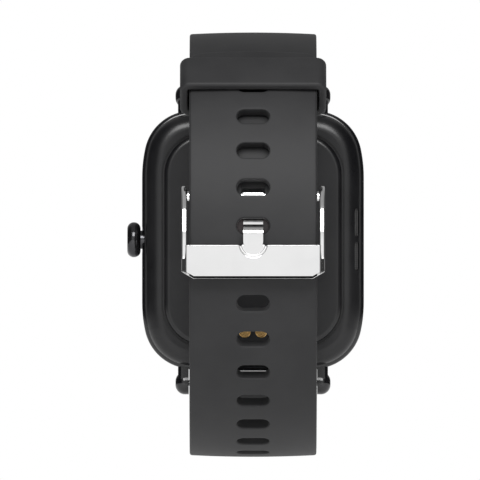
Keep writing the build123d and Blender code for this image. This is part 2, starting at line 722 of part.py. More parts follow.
with BuildPart() as buckle_tongue:
    with BuildSketch(side_plane(-tongue_w / 2)):
        with BuildLine():
            FilletPolyline(
                (pin_y, pin_z - eye_r * 0.4),
                through_hole(upper_mid - 0.1),
                (tongue_y, through_hole(tongue_y)[1]),
                (tongue_y, tongue_tip - 0.3),
                radius=tongue_thick,
            )
        trace(line_width=tongue_thick)
        with Locations((pin_y, pin_z)):
            Circle(eye_r)
            Circle(pin_hole, mode=Mode.SUBTRACT)
    extrude(amount=tongue_w)
    # rounded tip
    with BuildSketch(Plane(origin=(0, plate_face + 1, 0), x_dir=(-1, 0, 0), z_dir=(0, 1, 0))):
        with Locations((0, tongue_tip + tongue_w / 2)):
            Rectangle(tongue_w + 1, 3 * tongue_w, align=(Align.CENTER, Align.MAX))
            Circle(tongue_w / 2, mode=Mode.SUBTRACT)
    extrude(amount=-tongue_thick - 2, mode=Mode.SUBTRACT)
save(buckle_tongue.part, "buckle_tongue")


# ---- spring bars --------------------------------------------------------------------------------
tube_half = strap_w / 2 - 0.3
tip_reach = lug_inner + tip_len
pin_inner = lever_x - 1.2
for bar_name, bar, sign in (("upper", upper_bar, 1), ("lower", lower_bar, -1)):
    toward = lever_direction(bar, sign)
    bar_at = side_plane(0).shift_origin((0, bar[0], bar[1]))
    with BuildPart() as tube:
        with BuildSketch(bar_at.offset(-tube_half)):
            Circle(bar_r)
            Circle(bar_bore, mode=Mode.SUBTRACT)
        extrude(amount=2 * tube_half)
        with BuildSketch(lever_plane(bar, toward, 0)):
            with Locations((lever_x - release_travel / 2, 0)):
                SlotOverall(2 * lever_r + release_travel + 0.2, 2 * lever_r + 0.1)
        extrude(amount=2 * bar_r, mode=Mode.SUBTRACT)
    save(tube.part, f"{bar_name}_bar_tube")
    with BuildPart() as fixed_tip:
        with BuildSketch(bar_at.offset(-tip_reach)):
            Circle(tip_r)
        extrude(amount=tip_reach - tube_half)
        with BuildSketch(bar_at.offset(-tube_half)):
            Circle(bar_bore)
        extrude(amount=2.0)
        fillet(fixed_tip.faces().sort_by(Axis.X)[0].edges(), 0.12)
    save(fixed_tip.part, f"{bar_name}_bar_fixed_tip")
    with BuildPart() as release_pin:
        with BuildSketch(bar_at.offset(pin_inner)):
            Circle(tip_r)
        extrude(amount=tip_reach - pin_inner)
        fillet(release_pin.faces().sort_by(Axis.X)[-1].edges(), 0.12)
        with BuildSketch(lever_plane(bar, toward, 0)):
            with Locations((lever_x, 0)):
                Circle(lever_r)
        extrude(amount=lever_len)
    save(release_pin.part, f"{bar_name}_release_pin")
    with BuildPart() as spring:
        with BuildLine():
            Helix(pitch=0.48, height=spring_room - 0.3, radius=0.32, center=(0, 0, 0))
        with BuildSketch(Plane(origin=(0.32, 0, 0), x_dir=(1, 0, 0), z_dir=(0, 1, 0.24))):
            Circle(0.09)
        sweep(is_frenet=True)
    placed = spring.part.moved(Plane(origin=(pin_inner - spring_room + 0.15, bar[0], bar[1]), x_dir=(0, 1, 0),
                                     z_dir=(1, 0, 0)).location)
    save(placed, f"{bar_name}_bar_spring")
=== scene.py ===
"""Smartwatch on its buckled silicone strap, dressed for a studio picture."""
import logging
import math
from dataclasses import dataclass, field
from enum import Enum
from typing import Optional, Sequence

import bmesh
import bpy
import numpy as np
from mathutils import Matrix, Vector


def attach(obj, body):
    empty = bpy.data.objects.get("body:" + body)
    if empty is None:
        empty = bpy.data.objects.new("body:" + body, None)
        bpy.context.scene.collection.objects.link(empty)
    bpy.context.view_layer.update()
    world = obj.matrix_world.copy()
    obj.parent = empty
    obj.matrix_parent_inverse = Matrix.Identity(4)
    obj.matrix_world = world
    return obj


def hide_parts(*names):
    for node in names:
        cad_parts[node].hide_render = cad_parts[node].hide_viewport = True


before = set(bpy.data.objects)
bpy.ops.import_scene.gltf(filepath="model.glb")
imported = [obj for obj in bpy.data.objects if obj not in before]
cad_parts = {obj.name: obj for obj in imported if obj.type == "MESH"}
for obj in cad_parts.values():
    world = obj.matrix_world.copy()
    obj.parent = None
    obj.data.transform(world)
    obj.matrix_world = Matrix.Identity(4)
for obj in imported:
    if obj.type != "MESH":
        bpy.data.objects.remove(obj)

log = logging.getLogger("smartwatch")
MM = 0.001


# ---- shader wiring ------------------------------------------------------------------------------
class Signal:
    """One output of a shader node, or a plain number, that can be added, scaled and bent.

    Args:
        graph: the graph the signal belongs to.
        source: a node output or a number.
    """

    def __init__(self, graph: "Graph", source: object) -> None:
        self.graph, self.source = graph, source

    def _math(self, operation: str, left: object, right: object = 0.0, clamp: bool = False) -> "Signal":
        """Two-input maths; returns the result as a signal."""
        settings = {"operation": operation, "use_clamp": clamp}
        return self.graph.node("ShaderNodeMath", settings, {0: left, 1: right})

    def __add__(self, other: object) -> "Signal":
        """Sum."""
        return self._math("ADD", self, other)

    def __radd__(self, other: object) -> "Signal":
        """Sum with the number first."""
        return self._math("ADD", other, self)

    def __sub__(self, other: object) -> "Signal":
        """Difference."""
        return self._math("SUBTRACT", self, other)

    def __rsub__(self, other: object) -> "Signal":
        """Difference with the number first."""
        return self._math("SUBTRACT", other, self)

    def __mul__(self, other: object) -> "Signal":
        """Product."""
        return self._math("MULTIPLY", self, other)

    def __rmul__(self, other: object) -> "Signal":
        """Product with the number first."""
        return self._math("MULTIPLY", other, self)

    def __abs__(self) -> "Signal":
        """Size without sign."""
        return self._math("ABSOLUTE", self)

    def limited(self) -> "Signal":
        """The same value held between nought and one."""
        return self._math("ADD", self, 0.0, clamp=True)

    def eased(self, low: float, high: float, start: float = 0.0, end: float = 1.0) -> "Signal":
        """Smooth step from start to end while the signal goes from low to high.

        Args:
            low, high: the signal's values where the step begins and ends.
            start, end: the output at those values.

        Returns:
            The stepped signal.
        """
        return self.graph.node(
            "ShaderNodeMapRange",
            {"interpolation_type": "SMOOTHSTEP"},
            {"Value": self, "From Min": low, "From Max": high, "To Min": start, "To Max": end},
        )


class Graph:
    """Node tree with one method for adding nodes and a few for colour and vectors.

    Args:
        tree: the node tree to wire.
    """

    def __init__(self, tree: bpy.types.NodeTree) -> None:
        self.tree = tree

    def node(
        self, kind: str, settings: Optional[dict] = None, inputs: Optional[dict] = None, output: object = 0
    ) -> Signal:
        """Adds a node, sets it up and links its inputs.

        Args:
            kind: the node's type name.
            settings: attributes to set on the node.
            inputs: values or signals by input name or number.
            output: name or number of the output wanted.

        Returns:
            The chosen output as a signal.
        """
        made = self.tree.nodes.new(kind)
        for name, value in (settings or {}).items():
            setattr(made, name, value)
        for name, value in (inputs or {}).items():
            self.feed(made.inputs[name], value)
        return Signal(self, made.outputs[output])

    def feed(self, socket: bpy.types.NodeSocket, value: object) -> None:
        """Links a signal to an input, or sets the number there."""
        source = value.source if isinstance(value, Signal) else value
        if isinstance(source, bpy.types.NodeSocket):
            self.tree.links.new(source, socket)
        else:
            socket.default_value = source

    def place(self) -> Signal:
        """Position on the piece, in metres."""
        return self.node("ShaderNodeTexCoord", output="Object")

    def scaled(self, vector: Signal, by: Sequence[float]) -> Signal:
        """Vector with each part scaled on its own."""
        return self.node("ShaderNodeVectorMath", {"operation": "MULTIPLY"}, {0: vector, 1: tuple(by)})

    def noise(self, vector: Signal, scale: float, detail: float = 3.0, rough: float = 0.5) -> Signal:
        """Cloudy noise between nought and one; scale is in features per metre."""
        inputs = {"Vector": vector, "Scale": scale, "Detail": detail, "Roughness": rough}
        return self.node("ShaderNodeTexNoise", inputs=inputs)

    def blend(self, factor: Signal, first: Sequence[float], second: Sequence[float]) -> Signal:
        """Colour between two colours."""
        inputs = {"Factor": factor, 6: (*first, 1.0), 7: (*second, 1.0)}
        return self.node("ShaderNodeMix", {"data_type": "RGBA"}, inputs, output=2)

    def bump(self, height: Signal, strength: float, distance: float) -> Signal:
        """Surface normal tilted by a height; distance is in millimetres."""
        inputs = {"Height": height, "Strength": strength, "Distance": distance * MM}
        return self.node("ShaderNodeBump", inputs=inputs)


# ---- finishes -----------------------------------------------------------------------------------
@dataclass(frozen=True)
class Finish:
    """A finish: a base colour with soft mottling, fine grain in the gloss and a shallow texture.

    Fields are the two colours it wanders between, its roughness and how much that varies, how metallic
    and coated it is, the size of the mottling and of the grain in millimetres, the grain's depth and the
    strength of its plain reflection.
    """

    name: str
    dark: tuple = (0.02, 0.02, 0.02)
    light: tuple = (0.03, 0.03, 0.03)
    roughness: float = 0.5
    variation: float = 0.08
    metallic: float = 0.0
    coat: float = 0.0
    mottle_mm: float = 6.0
    grain_mm: float = 0.08
    grain_depth_mm: float = 0.004
    specular: float = 0.5

    def material(self) -> bpy.types.Material:
        """Returns the finish as a material, made once."""
        made = bpy.data.materials.get(self.name)
        if made:
            return made
        made = bpy.data.materials.new(self.name)
        made.use_nodes = True
        made.node_tree.nodes.clear()
        graph = Graph(made.node_tree)
        shader = graph.node("ShaderNodeBsdfPrincipled").source.node
        shader.inputs["Metallic"].default_value = self.metallic
        shader.inputs["Coat Weight"].default_value = self.coat
        shader.inputs["Coat Roughness"].default_value = 0.06
        shader.inputs["Specular IOR Level"].default_value = self.specular
        self.wire(graph, shader)
        out = made.node_tree.nodes.new("ShaderNodeOutputMaterial")
        made.node_tree.links.new(shader.outputs[0], out.inputs["Surface"])
        made.diffuse_color = (*self.light, 1.0)
        return made

    def wire(self, graph: Graph, shader: bpy.types.Node) -> None:
        """Mottled colour, grain in the roughness and a fine bump."""
        place = graph.place()
        mottle = graph.noise(place, 1 / (self.mottle_mm * MM))
        grain = graph.noise(place, 1 / (self.grain_mm * MM), 2.0)
        graph.feed(shader.inputs["Base Color"], graph.blend(mottle.eased(0.3, 0.7), self.dark, self.light))
        rough = self.roughness + (mottle - 0.5) * self.variation + (grain - 0.5) * self.variation
        graph.feed(shader.inputs["Roughness"], rough.limited())
        graph.feed(shader.inputs["Normal"], graph.bump(grain, 0.5, self.grain_depth_mm))


@dataclass(frozen=True)
class SoftSilicone(Finish):
    """Soft-touch silicone: matt, with a velvety sheen and the faint orange peel of the mould."""

    sheen: float = 0.05

    def wire(self, graph: Graph, shader: bpy.types.Node) -> None:
        """Grain and mottling, a broad orange peel in the bump, and a little sheen."""
        super().wire(graph, shader)
        place = graph.place()
        peel = graph.noise(place, 1 / (0.7 * MM), 2.0)
        grain = graph.noise(place, 1 / (self.grain_mm * MM), 2.0)
        graph.feed(shader.inputs["Normal"], graph.bump(peel * 1.5 + grain, 0.5, self.grain_depth_mm))
        shader.inputs["Sheen Weight"].default_value = self.sheen
        shader.inputs["Sheen Roughness"].default_value = 0.45


@dataclass(frozen=True)
class PolishedSteel(Finish):
    """Polished metal with hairline scratches along its length and faint smudges."""

    def wire(self, graph: Graph, shader: bpy.types.Node) -> None:
        """Noise drawn out along X makes the hairlines; broad noise makes the smudges."""
        place = graph.place()
        hairline = graph.noise(graph.scaled(place, (250.0, 9000.0, 9000.0)), 1.0, 4.0, 0.6)
        smudge = graph.noise(place, 1 / (self.mottle_mm * MM), 4.0)
        graph.feed(shader.inputs["Base Color"], graph.blend(smudge.eased(0.35, 0.75), self.light, self.dark))
        rough = self.roughness + hairline.eased(0.45, 0.75) * self.variation
        graph.feed(shader.inputs["Roughness"], (rough + smudge.eased(0.5, 0.8) * self.variation).limited())
        graph.feed(shader.inputs["Normal"], graph.bump(hairline, 0.25, self.grain_depth_mm))


@dataclass(frozen=True)
class WovenMesh(Finish):
    """Fine acoustic mesh: a weave of two sets of wires, coloured with a painted highlight on the wire ridges
    and painted shade in the gaps between them.

    wire_mm is the width of a wire, and wave_share over that width is the scale of the waves.
    """

    wire_mm: float = 0.16
    wave_share: float = 0.16

    def wire(self, graph: Graph, shader: bpy.types.Node) -> None:
        """Product of two waves gives the weave; it sets the colour, which paints a highlight on the ridges
        and shade in the gaps, the gloss and the bump.
        """
        place = graph.place()
        inputs = {"Vector": place, "Scale": self.wave_share / (self.wire_mm * MM)}
        waves = [
            graph.node("ShaderNodeTexWave", {"bands_direction": direction}, inputs, 1)
            for direction in ("Y", "Z")
        ]
        weave_painted_highlight_and_shade = waves[0] * waves[1]
        # The base colour is painted light: a highlight on the wire crossings and shade in the gaps between
        # the wires.
        graph.feed(shader.inputs["Base Color"], graph.blend(weave_painted_highlight_and_shade, self.dark, self.light))
        graph.feed(shader.inputs["Roughness"], (self.roughness + weave_painted_highlight_and_shade * self.variation).limited())
        graph.feed(shader.inputs["Normal"], graph.bump(weave_painted_highlight_and_shade, 0.8, self.grain_depth_mm))


class Finishes(Enum):
    """Every finish on the watch."""

    SILICONE = SoftSilicone(
        "Soft matt silicone", (0.019, 0.019, 0.020), (0.024, 0.024, 0.025), 0.58, 0.1,
        grain_mm=0.12, grain_depth_mm=0.006, specular=0.3,
    )
    CASE = Finish(
        "Glossy black coated alloy", (0.004, 0.004, 0.005), (0.008, 0.008, 0.009), 0.16, 0.06,
        coat=0.4, grain_depth_mm=0.0004,
    )
    CROWN = Finish(
        "Satin black crown", (0.06, 0.06, 0.062), (0.08, 0.08, 0.085), 0.14, 0.05,
        metallic=0.9, grain_depth_mm=0.001,
    )
    BACK = Finish(
        "Satin black back plastic", (0.006, 0.006, 0.007), (0.010, 0.010, 0.011), 0.3, 0.1,
        grain_mm=0.1, grain_depth_mm=0.0015,
    )
    INNER = Finish("Matt inner plastic", (0.03, 0.03, 0.03), (0.045, 0.045, 0.045), 0.6)
    GLASS = Finish(
        "Dark cover glass", (0.0035, 0.0035, 0.0045), (0.005, 0.005, 0.006), 0.05, 0.02,
        coat=0.6, grain_depth_mm=0.0001,
    )
    SENSOR = Finish(
        "Smoked sensor glass", (0.010, 0.004, 0.005), (0.016, 0.006, 0.008), 0.07, 0.03,
        coat=0.6, grain_depth_mm=0.0001,
    )
    SEAL = Finish("Black seal rubber", (0.012, 0.012, 0.012), (0.02, 0.02, 0.02), 0.7)
    DISPLAY = Finish("Dark display", (0.006, 0.006, 0.01), (0.009, 0.009, 0.014), 0.2)
    BOARD = Finish("Green circuit board", (0.01, 0.06, 0.03), (0.015, 0.09, 0.045), 0.4)
    INNER_STEEL = PolishedSteel(
        "Satin inner steel", (0.42, 0.42, 0.43), (0.55, 0.55, 0.56), 0.3, 0.15, metallic=1.0
    )
    FOIL = Finish(
        "Battery foil", (0.3, 0.3, 0.31), (0.42, 0.42, 0.43), 0.35, 0.2, metallic=0.9, mottle_mm=2.0
    )
    MAGNET = PolishedSteel("Nickelled magnet", (0.5, 0.49, 0.47), (0.6, 0.59, 0.57), 0.22, 0.1, metallic=1.0)
    GOLD = PolishedSteel(
        "Gold plated contact", (0.72, 0.42, 0.14), (0.86, 0.55, 0.22), 0.24, 0.12,
        metallic=1.0, mottle_mm=1.0,
    )
    # The dark colour is painted shade in the mesh's gaps and the light one a painted highlight on the wire
    # ridges.
    MESH = WovenMesh("Acoustic mesh", (0.01, 0.01, 0.01), (0.16, 0.16, 0.16), 0.45, 0.2, grain_depth_mm=0.03)
    STEEL = PolishedSteel(
        "Polished buckle steel", (0.93, 0.93, 0.93), (0.97, 0.97, 0.97), 0.07, 0.05,
        metallic=1.0, grain_depth_mm=0.0006,
    )
    BAR = PolishedSteel("Spring bar steel", (0.4, 0.4, 0.4), (0.55, 0.55, 0.55), 0.25, 0.1, metallic=1.0)


# ---- surfaces -----------------------------------------------------------------------------------
class Skin:
    """Collects grids of points into one welded, closed mesh.

    Args:
        name: the piece's name.
    """

    def __init__(self, name: str) -> None:
        self.name = name
        self.points: list[np.ndarray] = []
        self.faces: list[np.ndarray] = []
        self.count = 0

    def grid(self, points: np.ndarray, around: bool = False, keep: Optional[np.ndarray] = None) -> None:
        """Adds quads over a grid of points.

        Args:
            points: rows by columns by three, in metres.
            around: whether the last column joins the first.
            keep: which cells to keep, rows less one by cells, or None for all.
        """
        rows, columns = points.shape[:2]
        index = np.arange(rows * columns).reshape(rows, columns) + self.count
        right = np.roll(index, -1, axis=1) if around else index[:, 1:]
        left = index if around else index[:, :-1]
        quads = np.stack([left[:-1], right[:-1], right[1:], left[1:]], axis=-1)
        chosen = quads.reshape(-1, 4) if keep is None else quads[keep]
        self.points.append(points.reshape(-1, 3))
        self.faces.append(chosen)
        self.count += rows * columns

    def finish(self, body: str, finish: Finishes, slot: str, weld_mm: float = 0.0005) -> bpy.types.Object:
        """Welds the seams, turns the faces outwards and puts the piece on its body.

        Args:
            body: the moving body it rides on.
            finish: what it is made of.
            slot: the material slot's name; not used.
            weld_mm: points closer than this become one.

        Returns:
            The finished object.
        """
        points, faces = np.concatenate(self.points), np.concatenate(self.faces)
        mesh = bpy.data.meshes.new(self.name)
        mesh.vertices.add(len(points))
        mesh.vertices.foreach_set("co", points.astype(np.float32).ravel())
        mesh.loops.add(faces.size)
        mesh.loops.foreach_set("vertex_index", faces.astype(np.int32).ravel())
        mesh.polygons.add(len(faces))
        mesh.polygons.foreach_set("loop_start", np.arange(0, faces.size, 4, dtype=np.int32))
        mesh.update(calc_edges=True)
        work = bmesh.new()
        work.from_mesh(mesh)
        bmesh.ops.remove_doubles(work, verts=work.verts, dist=weld_mm * MM)
        bmesh.ops.dissolve_degenerate(work, edges=work.edges, dist=weld_mm * MM)
        bmesh.ops.holes_fill(work, edges=[edge for edge in work.edges if len(edge.link_faces) == 1], sides=0)
        bmesh.ops.recalc_face_normals(work, faces=work.faces)
        open_edges = sum(1 for edge in work.edges if len(edge.link_faces) != 2)
        work.to_mesh(mesh)
        work.free()
        mesh.shade_smooth()
        piece = bpy.data.objects.new(self.name, mesh)
        bpy.context.scene.collection.objects.link(piece)
        piece.data.materials.append(finish.value.material())
        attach(piece, body)
        log.info("%s: %d faces, %d open edges", self.name, len(mesh.polygons), open_edges)
        return piece


def sharpen(piece: bpy.types.Object, degrees: float = 35.0) -> None:
    """Keeps edges sharper than an angle crisp in the shading."""
    piece.data.set_sharp_from_angle(angle=math.radians(degrees))


# ---- strap --------------------------------------------------------------------------------------
@dataclass
class StrapPath:
    """Mid-line of one half of the strap, and its thickness, in millimetres.

    The distance s runs along the mid-line: nought at the top (or bottom) of the rear arc, negative round
    the wrist towards the clasp, positive down the tighter arc to the spring bar.
    """

    outer: float
    thick: float
    sign: int
    bar: tuple
    end_r: float = 1.9
    taper: float = 24.0
    width: float = 20.0
    crown: float = 0.27
    crown_fade: float = 6.0
    fillet: float = 0.35

    def __post_init__(self) -> None:
        """Works out the tighter arc that meets the spring bar."""
        self.mid = self.outer - self.thick / 2
        drop = self.mid - self.sign * self.bar[1]
        half_sweep = math.atan2(drop, -self.bar[0])
        self.radius = drop / (1 - math.cos(2 * half_sweep))
        self.s_bar = self.radius * 2 * half_sweep
        self.s_near = self.s_bar - self.radius * math.radians(self.taper)

    def s_at(self, degrees: float) -> float:
        """Distance along the mid-line of a point at an angle above (or below) the horizontal."""
        return -self.mid * math.radians(90 - self.sign * degrees)

    def place(self, x: np.ndarray, s: np.ndarray, d: np.ndarray) -> np.ndarray:
        """Point at x across, s along and d out from the mid-line.

        Round the rear arc the point is the mid radius plus d at the angle s / radius; past nought it is the
        same on the tighter arc, and past the spring bar it goes straight on along the tangent.

        Returns:
            Points in metres, with one more axis than the inputs.
        """
        x, s, d = np.broadcast_arrays(x, s, d)
        rear = -s / self.mid
        front = np.clip(s, 0, self.s_bar) / self.radius
        past = np.maximum(s - self.s_bar, 0)
        y = np.where(
            s <= 0,
            (self.mid + d) * np.sin(rear),
            -(self.radius + d) * np.sin(front) - past * np.cos(front),
        )
        z = np.where(
            s <= 0,
            (self.mid + d) * np.cos(rear),
            self.mid - self.radius + (self.radius + d) * np.cos(front) - past * np.sin(front),
        )
        return np.stack([x, y, self.sign * z], axis=-1) * MM

    def half_thickness(self, s: np.ndarray) -> np.ndarray:
        """Half the strap's thickness: constant, growing to the spring bar, then a round end.

        The growth starts a little under the constant part, so that the two blend over a soft bend.
        """
        under, sharpness, lead = 0.1, 12, 3
        near = self.thick / 2 - under
        ramp = near + (self.end_r - near) * (s - self.s_near) / (self.s_bar - self.s_near)
        swell = np.logaddexp(self.thick / 2 * sharpness, ramp * sharpness) / sharpness
        swell = np.minimum(np.where(s < self.s_near - lead, self.thick / 2, swell), self.end_r)
        past = np.clip(s - self.s_bar, 0, self.end_r)
        return np.where(s > self.s_bar, np.sqrt(self.end_r**2 - past**2), swell)


@dataclass
class Slot:
    """A slot through the strap, or a pocket in its wrist side, cut in one block of the strap's grid."""

    x: float
    s: float
    half_length: float
    radius: float
    columns: tuple
    rows: tuple
    rim: float = 0.22
    outer: bool = True
    floor: Optional[float] = None

    def outline(self, away: np.ndarray, grow: float) -> np.ndarray:
        """Points of the slot's outline in the directions of some points around it.

        A ray from the middle meets the straight side where its height is the radius, or else the round end,
        a circle about a point half the straight length away.

        Args:
            away: directions from the slot's middle, one per row.
            grow: how far outside the slot the outline lies.
        """
        cosine, sine = (away / np.linalg.norm(away, axis=1, keepdims=True)).T
        straight, radius = self.half_length - self.radius, self.radius + grow
        on_side = radius / np.maximum(np.abs(sine), 1e-9)
        root = np.sqrt(np.maximum(radius**2 - (straight * sine) ** 2, 0))
        reach = np.where(on_side * np.abs(cosine) <= straight, on_side, straight * np.abs(cosine) + root)
        return np.stack([cosine * reach, sine * reach], axis=1)


class StrapHalf:
    """One half of the strap, as a grid of columns across and rows along it.

    Args:
        path: the mid-line and thickness.
        columns: positions across, from edge to edge of the flat part.
        rows: distances along, from the clasp end to the spring-bar end.
    """

    edge_steps = 6

    def __init__(self, path: StrapPath, columns: np.ndarray, rows: np.ndarray) -> None:
        self.path, self.columns, self.rows = path, columns, rows
        self.cut_outer = np.ones((len(rows) - 1, len(columns) - 1), bool)
        self.cut_inner = self.cut_outer.copy()
        self.corner = 0.0
        self.round_start = False

    def half(self, s: np.ndarray) -> np.ndarray:
        """Half thickness, also rounded off round the buckle pin where the half has an eye."""
        half = self.path.half_thickness(s)
        if self.round_start:
            radius = self.path.thick / 2
            before = np.clip(self.rows[0] + radius - s, 0, radius)
            half = np.where(before > 0, np.sqrt(np.maximum(radius**2 - before**2, 0)), half)
        return half

    def narrowing(self, s: np.ndarray) -> np.ndarray:
        """Width as a share of the full width: one, less a rounded corner at the tail."""
        if not self.corner:
            return np.ones_like(s)
        into = np.clip(self.rows[0] + self.corner - s, 0, self.corner)
        lost = self.corner - np.sqrt(self.corner**2 - into**2)
        return 1 - lost / (self.path.width / 2)

    def surface(self, x: np.ndarray, s: np.ndarray, side: object, drop: object = 0.0) -> np.ndarray:
        """Points on the strap's outside (side 1) or wrist side (-1), let in by a drop."""
        half = self.half(s)
        fade = np.clip((self.path.s_bar - s) / self.path.crown_fade, 0, 1)
        crown = np.where(np.asarray(side) > 0, self.path.crown * (x / (self.path.width / 2)) ** 2 * fade, 0)
        share = np.minimum(1, half / (2 * self.path.fillet))
        depth = side * (half - (crown + drop) * share)
        return self.path.place(x * self.narrowing(s), s, depth)

    def edge(self, direction: int, rows: np.ndarray) -> np.ndarray:
        """Rounded edge of the strap from its outside to its wrist side, for some rows.

        Two quarter circles of the fillet's radius with the flat side between them.

        Returns:
            Rows by points by three.
        """
        turn = np.linspace(0, math.pi / 2, self.edge_steps + 1)
        fillet, half_width = self.path.fillet, self.path.width / 2
        x = half_width - fillet + fillet * np.sin(turn)
        drop = fillet * (1 - np.cos(turn))
        x, drop = np.concatenate([x, x[::-1]]), np.concatenate([drop, drop[::-1]])
        side = np.repeat([1, -1], self.edge_steps + 1)
        return self.surface(direction * x[None, :], rows[:, None], side[None, :], drop[None, :])

    def cut(self, skin: Skin, slot: Slot, steps: int = 5) -> None:
        """Cuts a slot or pocket: rings spread from its outline to the edges of its block of the grid.

        The rings start on the block's border, close in on the outline grown by the rim, turn down over a
        quarter circle, go down the wall and either come up the same way on the other side or close on
        a floor.

        Args:
            skin: where the rings go.
            slot: what to cut.
            steps: rings between the border and the rim.
        """
        (left, right), (low, high) = slot.columns, slot.rows
        across, along = self.columns[left:right + 1], self.rows[low:high + 1]
        border = np.concatenate([
            np.stack([across[:-1], np.full(right - left, along[0])], axis=1),
            np.stack([np.full(high - low, across[-1]), along[:-1]], axis=1),
            np.stack([across[:0:-1], np.full(right - left, along[-1])], axis=1),
            np.stack([np.full(high - low, across[0]), along[:0:-1]], axis=1),
        ])
        centre = np.array([slot.x, slot.s])
        away = border - centre
        mix = np.linspace(0, 1, steps + 1)[:, None, None]
        flat = centre + away * (1 - mix) + slot.outline(away, slot.rim) * mix
        turn = np.linspace(0, math.pi / 2, 6)[1:]
        rim = np.stack([centre + slot.outline(away, slot.rim * (1 - math.sin(t))) for t in turn])
        sink = slot.rim * (1 - np.cos(turn))
        spread, rings = np.concatenate([flat, rim]), len(flat) + len(rim)
        drop = np.concatenate([np.zeros(len(flat)), sink])[:, None] * np.ones((rings, len(border)))
        side = 1 if slot.outer else -1
        top = self.surface(spread[..., 0], spread[..., 1], side, drop)
        block = (slice(low, high), slice(left, right))
        if slot.floor is None:
            under = self.surface(spread[..., 0], spread[..., 1], -side, drop)[::-1]
            self.cut_outer[block] = self.cut_inner[block] = False
            skin.grid(np.concatenate([top, under]), around=True)
            return
        (self.cut_outer if slot.outer else self.cut_inner)[block] = False
        shrink = np.array([1.0, 0.5, 0.0])[:, None, None]
        base = centre + (spread[-1] - centre) * shrink
        floor = self.path.place(base[..., 0], base[..., 1], np.full(base.shape[:2], side * slot.floor))
        skin.grid(np.concatenate([top, floor]), around=True)

    def faces(self, skin: Skin) -> None:
        """Adds the outside, the wrist side and both edges, without the blocks that were cut."""
        grid_x, grid_s = self.columns[None, :], self.rows[:, None]
        skin.grid(self.surface(grid_x, grid_s, 1), keep=self.cut_outer)
        skin.grid(self.surface(grid_x, grid_s, -1), keep=self.cut_inner)
        skin.grid(self.edge(1, self.rows))
        skin.grid(self.edge(-1, self.rows))


